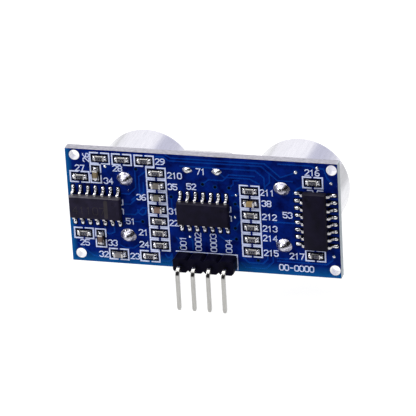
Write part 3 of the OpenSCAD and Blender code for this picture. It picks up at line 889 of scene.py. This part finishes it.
def make_chip(name, mats):
    """Moulded body with drafted sides, a soft top edge and the first lead's dot."""
    low, high, _ = box_mm(f"{name}_chip_body")
    place, length, width, _ = part_frame(f"{name}_chip_body")
    base, top = low.y - BACK, high.y - BACK
    draft, edge = 0.12, 0.07
    levels = [(base, draft), (0.75, 0.0), (0.95, 0.0), (top - edge, draft - 0.01)]
    levels += [(top - 0.35 * edge, draft + 0.25 * edge), (top, draft + edge)]
    shape = Shape()
    shape.loft([rounded(length - 2 * inset, width - 2 * inset, h, 0.1, 3) for h, inset in levels], place)
    epoxy = mats["worn_epoxy" if name == "amplifier" else "epoxy"]
    body = shape.build(f"{name}_chip_case", [epoxy], "chip_epoxy", [f"{name}_chip_body"], sharp=30)
    dot = Shape()
    lathe(dot, [
        (0.4, top + 0.2), (0.4, top - 0.01), (0.33, top - 0.05), (0.2, top - 0.07), (0.02, top - 0.075),
    ], moved(place, length / 2 - 0.95, width / 2 - 0.9), 32, loop=False)
    carve(body, dot, epoxy)
    # Faces that look upwards, the upper flank and top edge, get the lighter flank material: a painted
    # highlight of the top lamp.
    body.data.materials.append(mats["worn_flank_highlight" if name == "amplifier" else "flank"])
    for face in body.data.polygons:
        if face.normal.z > 0.5:
            face.material_index = 1


def make_band(mats):
    """Faint figures and a worn band across the amplifier chip."""
    place, length, _, _ = part_frame("amplifier_chip_body")
    top = box_mm("amplifier_chip_body")[1].y - BACK
    across = 0.225 * length
    shape = Shape()
    strip(shape, [(across, -1.3), (across, 1.3)], 0.7, top + 0.004, place, base=top - 0.02)
    scale = 1.3
    legend = Legend(moved(place, 0, 0, top + 0.003 - scale * INK_TOP) @ Matrix.Scale(scale, 4), shape)
    legend.number("41107", -0.75, -0.3, stroke=0.13, advance=0.88)
    shape.build("amplifier_marking", [mats["marking"]], "chip_epoxy")


def carve(body, tool_shape, material):
    """Cuts a shape out of a piece and keeps the result as the piece's mesh."""
    tool = tool_shape.build("cutter", [material], "chip_epoxy")
    cut = body.modifiers.new("cut", "BOOLEAN")
    cut.operation = "DIFFERENCE"
    cut.solver = "EXACT"
    cut.object = tool
    result = evaluated_mesh(body)
    body.modifiers.clear()
    body.data = result
    result.shade_smooth()
    result.set_sharp_from_angle(angle=radians(30))
    bpy.data.objects.remove(tool)


def lead_rings():
    """Sections of a gull-wing lead from the body out, down and flat on its pad."""
    root, toe, thick, top = LEAD_ROOT, LEAD_TOE, 0.2, 0.95
    path = [(root - 0.02, top - thick / 2, 0), (root + 0.22, top - thick / 2, 0)]
    path += [(root + 0.32, top - 0.14, 25), (root + 0.4, top - 0.24, 55), (root + 0.52, 0.36, 68)]
    path += [(root + 0.6, 0.22, 50), (root + 0.7, 0.125, 20), (root + 0.82, 0.1, 0)]
    path += [(toe - 0.06, 0.1, 0), (toe, 0.1, 0)]
    rings = []
    for i, (out, height, slope) in enumerate(path):
        t = radians(slope)
        fit = 0.8 if i == len(path) - 1 else 1.0
        ring = rounded(0.42 * fit, thick * fit, 0.0, 0.04, 2)
        rings.append([(a, out + b * sin(t), height + b * cos(t)) for a, b, _ in ring])
    return rings


def each_lead(name):
    """Frame of every lead of a chip: its middle line, with +up leading away from the body."""
    place, length, _, _ = part_frame(f"{name}_chip_body")
    beyond_last = 0.51
    per_side = round((length - 2 * beyond_last) / LEAD_PITCH) + 1
    for i in range(per_side):
        for turn in (0, pi):
            yield turned(moved(place, (i - (per_side - 1) / 2) * LEAD_PITCH), turn)


def make_leads(name, mats):
    shape = Shape()
    for place in each_lead(name):
        shape.loft(lead_rings(), place)
    shape.build(f"{name}_gull_wings", [mats["tin"]], "tinned_lead", [f"{name}_chip_leads"], sharp=50)


# ---- small parts

CERAMICS = dict(zip(CAPACITORS, (
    (0.2, 0.125, 0.098), (0.2, 0.185, 0.195), (0.125, 0.082, 0.07), (0.2, 0.15, 0.08),
    (0.15, 0.135, 0.12), (0.16, 0.15, 0.122), (0.31, 0.215, 0.09),
)))
RESISTOR_CAP, CAPACITOR_CAP = 0.22, 0.32


def make_caps(shape, node, cap, slot):
    """The two plated ends of a small part."""
    place, length, width, height = part_frame(node)
    for side in (-1, 1):
        soft_block(shape, cap, width, 0.03, height, 0.07, moved(place, side * (length - cap) / 2), slot)


def make_resistor(node, mats):
    """White ceramic chip with a dark glass coat on top and two plated ends."""
    place, length, width, height = part_frame(node)
    shape = Shape()
    inner = length - 2 * RESISTOR_CAP + 0.04
    soft_block(shape, inner, width - 0.05, 0.04, height - 0.06, 0.03, place, 1)
    soft_block(shape, inner + 0.02, width - 0.12, height - 0.08, height + 0.01, 0.03, place, 0)
    make_caps(shape, node, RESISTOR_CAP, 2)
    layers = [mats["resistor"], mats["alumina"], mats["tin"]]
    shape.build(f"{node}_part", layers, "resistor_body", [node])


def make_resistor_codes(mats):
    """Three printed figures on top of every resistor."""
    codes = Shape()
    for i, node in enumerate(RESISTORS):
        place, _, _, height = part_frame(node)
        legend = Legend(moved(place, 0, 0, height - 0.015) @ Matrix.Scale(0.46, 4), codes)
        legend.number(f"{i % 4 + 1}0{i % 3 + 1}", 0, 0, advance=0.8)
    codes.build("resistor_codes", [mats["code"]], "resistor_body", sharp=20)


def make_capacitor(node, mats):
    """Fired block of its own shade with two plated ends."""
    place, length, width, height = part_frame(node)
    shape = Shape()
    soft_block(shape, length - 2 * CAPACITOR_CAP + 0.04, width - 0.06, 0.04, height - 0.03, 0.08, place, 0)
    make_caps(shape, node, CAPACITOR_CAP, 1)
    ceramic = fired(f"{node}_ceramic", CERAMICS[node])
    shape.build(f"{node}_part", [ceramic, mats["tin"]], "capacitor_body", [node])


# ---- solder

def wobble(rng, amount):
    """A small smooth random change round a joint, from three waves."""
    waves = [(k, rng.uniform(0, 2 * pi), amount * rng.uniform(0.4, 1.0) / k) for k in (2, 3, 5)]
    return lambda t: 1 + sum(size * sin(k * t + phase) for k, phase, size in waves)


def cone_of_solder(shape, place, foot, tip, height, rng, squash=1.0, lean=0.12):
    """Solder joint: wetted foot, straight flank and a blunt tip that leans a little to one side."""
    profile = [(1.0, 0.0, 1), (0.96, 0.05, 1), (0.88, 0.13, 1), (0.74, 0.31, 1), (0.57, 0.52, 1),
               (0.38, 0.74, 1), (0.2, 0.9, 1), (0.07, 0.965, 0.9), (0.0, 0.99, 0.6), (0.0, 1.0, 0.1)]
    shake = wobble(rng, 0.05)
    angle = rng.uniform(0, 2 * pi)
    rings = []
    for reach, rise, cap in profile:
        radius = reach * (foot - tip) + cap * tip
        off = lean * rise * foot
        flat = squash + (1 - squash) * rise
        ring = []
        for t in turn_steps(48):
            r = radius * (1 + (shake(t) - 1) * (1 - 0.6 * rise))
            x, z = r * cos(t) + off * cos(angle), flat * r * sin(t) + off * sin(angle)
            ring.append((x, z, height * rise))
        rings.append(ring)
    shape.loft(rings, place)


def bead(shape, place, length, width, height, rng, lean=0.1):
    """Rounded lump of solder, longest along local across, whose top leans a little at random."""
    low_x, low_z = (rng.uniform(-lean, lean) for _ in range(2))
    shake = wobble(rng, 0.07)
    rings = []
    for level in (0.0, 0.18, 0.38, 0.58, 0.75, 0.88, 0.96, 0.995):
        shrink = sqrt(1 - level ** 2)
        corner = 0.48 * min(length, width) * shrink
        ring = []
        for a, b, h in rounded(length * shrink, width * shrink, height * level, corner, 5):
            swell = shake(atan2(b, a))
            ring.append((a * swell + low_x * level, b * swell + low_z * level, h))
        rings.append(ring)
    shape.loft(rings, place)


def make_pads(mats):
    """Tinned pads of the small parts and chip leads, in mask openings whose near-black colour is painted shade
    round the parts.
    """
    pads, openings = Shape(), Shape()
    for node in SMALL_PARTS:
        place, length, width, _ = part_frame(node)
        # Painted shade: the openings are near-black, far darker than the pale laminate, and darken the ground
        # round each part and lead.
        soft_block(openings, 2.84, width + 0.62, 0.0, OPENING_TOP, 0.005, place, corner=0.12)
        for side in (-1, 1):
            spot = moved(place, side * (length / 2 - 0.02))
            soft_block(pads, 0.78, 0.86, 0.0, PAD_TOP, 0.02, spot, corner=0.08)
    for name in CHIPS:
        for i, place in enumerate(each_lead(name)):
            top = OPENING_TOP + 0.0004 * i
            soft_block(openings, 0.8, 1.7, 0.0, top, 0.005, moved(place, 0, LEAD_TOE - 0.22), corner=0.15)
            soft_block(pads, 0.4, 0.95, 0.0, PAD_TOP, 0.02, moved(place, 0, LEAD_TOE - 0.02), corner=0.1)
    pads.build("board_pads", [mats["solder"]], "solder")
    openings.build("board_mask_openings", [mats["opening_shade"]], "board", sharp=40)


def make_surface_solder(mats, rng):
    shape = Shape()
    for node in SMALL_PARTS:
        place, length, width, height = part_frame(node)
        for turn in (0, pi):
            end = moved(turned(place, turn), length / 2 + 0.08)
            bead(shape, end, 0.64, 1.04 * width, min(0.95 * height, 0.56) * rng.uniform(0.9, 1.1), rng)
    for name in CHIPS:
        for place in each_lead(name):
            toe = turned(moved(place, 0, LEAD_TOE + 0.08), pi / 2)
            bead(shape, toe, 0.86 * rng.uniform(0.92, 1.08), 0.6, 0.36, rng, lean=0.05)
    shape.build("surface_solder", [mats["solder"]], "solder", ["surface_solder_joints"], sharp=60)


def make_lead_solder(mats, rng):
    """The large joints of the transducers, the crystal's oval ones and the header's on the front."""
    joints = Shape()
    for side in SIDES:
        low, high, centre = box_mm(f"{side}_terminals")
        for z in (low.z + 0.5, high.z - 0.5):
            cone_of_solder(joints, on_back(centre.x, z), 1.36, 0.14, 1.15, rng, 0.88, 0.06)
    joints.build("transducer_solder", [mats["joint"]], "solder", ["transducer_solder_joints"], sharp=60)

    ovals = Shape()
    low, high, centre = box_mm("crystal_leads")
    for x in (low.x + 0.215, high.x - 0.215):
        cone_of_solder(ovals, on_back(x, centre.z), 0.8, 0.2, 0.5, rng, squash=0.78, lean=0.12)
    ovals.build("crystal_solder", [mats["solder"]], "solder", ["crystal_solder_joints"], sharp=60)

    cones = Shape()
    row = box_mm("header_housing")[2].z
    for i in range(4):
        place = on_front((i - 1.5) * PIN_PITCH, row)
        cone_of_solder(cones, place, 0.95, 0.42, 0.8, rng, lean=0.05)
    cones.build("header_solder", [mats["solder"]], "solder", ["header_solder_joints"], sharp=60)


# ---- stage

def make_floor():
    """White sweep under the sensor, a little luminous like a light table."""
    nodes = Nodes("floor", 0.8, specular=0.1)
    nodes.colour(nodes.ramp(nodes.noise(0.01, 2.0), (0.3, (0.16, 0.16, 0.16)), (0.7, (0.2, 0.2, 0.2))))
    across = nodes.remap(nodes.math("ABSOLUTE", nodes.axis("X", -VIEW_AZIMUTH), 0), 44, 66, 1.0, 0.55)
    along = nodes.remap(nodes.axis("Y", -VIEW_AZIMUTH), 42, 80, 1.0, 0.5)
    glow = nodes.math("MULTIPLY", nodes.math("MULTIPLY", across, along), 0.9)
    nodes.shade({"Emission Color": (1, 1, 1), "Emission Strength": glow})
    level = cad_box[0].z - 0.02 * MM
    half = 3.0
    mesh = bpy.data.meshes.new("floor")
    corners = [(-half, -half, level), (half, -half, level), (half, half, level), (-half, half, level)]
    mesh.from_pydata(corners, [], [(0, 1, 2, 3)])
    mesh.materials.append(nodes.material)
    add_object("floor", mesh)


def make_light(name, spot, size, power):
    """Square soft box at a spot, facing the sensor."""
    lamp = bpy.data.lights.new(name, "AREA")
    lamp.size = size
    lamp.energy = power
    light = add_object(name, lamp)
    light.location = spot
    light.rotation_euler = (-Vector(spot)).to_track_quat("-Z", "Y").to_euler()


def make_world():
    """Bright wall with a lavender panel in front of the sensor, and a dark room behind it."""
    world = bpy.data.worlds.new("studio")
    bpy.context.scene.world = world
    world.use_nodes = True
    sky = Tree(world.node_tree)

    def fade(axis, low, high, to_low, to_high):
        """Smooth step of how far a direction points along an axis."""
        ends = {0: sky.coords.outputs["Generated"], 1: axis}
        along = sky.add("ShaderNodeVectorMath", ends, operation="DOT_PRODUCT").outputs["Value"]
        return sky.remap(along, low, high, to_low, to_high, interpolation_type="SMOOTHSTEP")

    near, far = fade((1, 0, 0), -0.14, 0.0, 1.0, 0.0), fade((1, 0, 0), -0.75, -0.14, 0.6, 1.0)
    panel = sky.math("MULTIPLY", sky.math("MULTIPLY", near, far), fade((0, 0, 1), 0.02, 0.25, 0.0, 1.0))
    sky.feed(sky.tree.nodes["Background"], {
        "Color": sky.blend(panel, (1.12, 1.11, 1.16), (0.66, 0.66, 0.8)),
        "Strength": fade((-0.67, 0.74, 0.0), -0.25, -0.05, 1.0, 0.02),
    })


def make_camera():
    """Long lens behind, above and a little to -X of the sensor, tilted slightly."""
    azimuth, elevation, roll = VIEW_AZIMUTH, radians(24.73), radians(3.31)
    aim = Vector((-0.67, BACK, 0.81)) * MM
    distance = 0.4958
    look = Vector((sin(azimuth) * cos(elevation), -cos(azimuth) * cos(elevation), -sin(elevation)))
    right = look.cross(Vector((0, 0, 1))).normalized()
    tilt = Matrix.Rotation(roll, 3, look)
    right, up = tilt @ right, tilt @ right.cross(look)
    lens = bpy.data.cameras.new("camera")
    lens.lens = 267.9
    lens.sensor_width = 36.0
    lens.clip_end = 20.0
    camera = add_object("camera", lens)
    facing = Matrix((right, up, -look)).transposed().to_4x4()
    camera.matrix_world = Matrix.Translation(aim - look * distance) @ facing
    bpy.context.scene.camera = camera


# ---- all together

make_camera()
mats = make_materials()
rng = random.Random(7)

make_mask("board_mask_back", on_back(0, 0), -1, mats["mask"])
make_mask("board_mask_front", on_front(0, 0), 1, mats["mask"])
make_hole_plating(mats)
make_tracks(mats)
make_vias(mats)
make_legend(mats)
make_pads(mats)
for side in SIDES:
    make_can(side, mats)
    make_screen(side, mats)
make_crystal(mats)
make_header(mats)
make_pins(mats)
for name in CHIPS:
    make_chip(name, mats)
    make_leads(name, mats)
make_band(mats)
for node in RESISTORS:
    make_resistor(node, mats)
make_resistor_codes(mats)
for node in CAPACITORS:
    make_capacitor(node, mats)
make_surface_solder(mats, rng)
make_lead_solder(mats, rng)

paint("circuit_board", mats["laminate"])
for side in SIDES:
    for part, material in (
        ("cone", "cone"), ("metal_plate", "brass"), ("piezo_disc", "piezo"), ("damping_ring", "silicone"),
        ("base", "resin"), ("terminals", "tin"), ("lead_wires", "copper"),
    ):
        paint(f"{side}_{part}", mats[material])
paint("crystal_quartz", mats["quartz"])
paint("crystal_leads", mats["tin"])

make_floor()
make_world()
make_light("key", (0.44, 0.26, 0.4), 0.24, 2.6)
make_light("top", (0.05, 0.04, 0.7), 0.78, 4.6)
bpy.context.scene.view_settings.view_transform = "Standard"
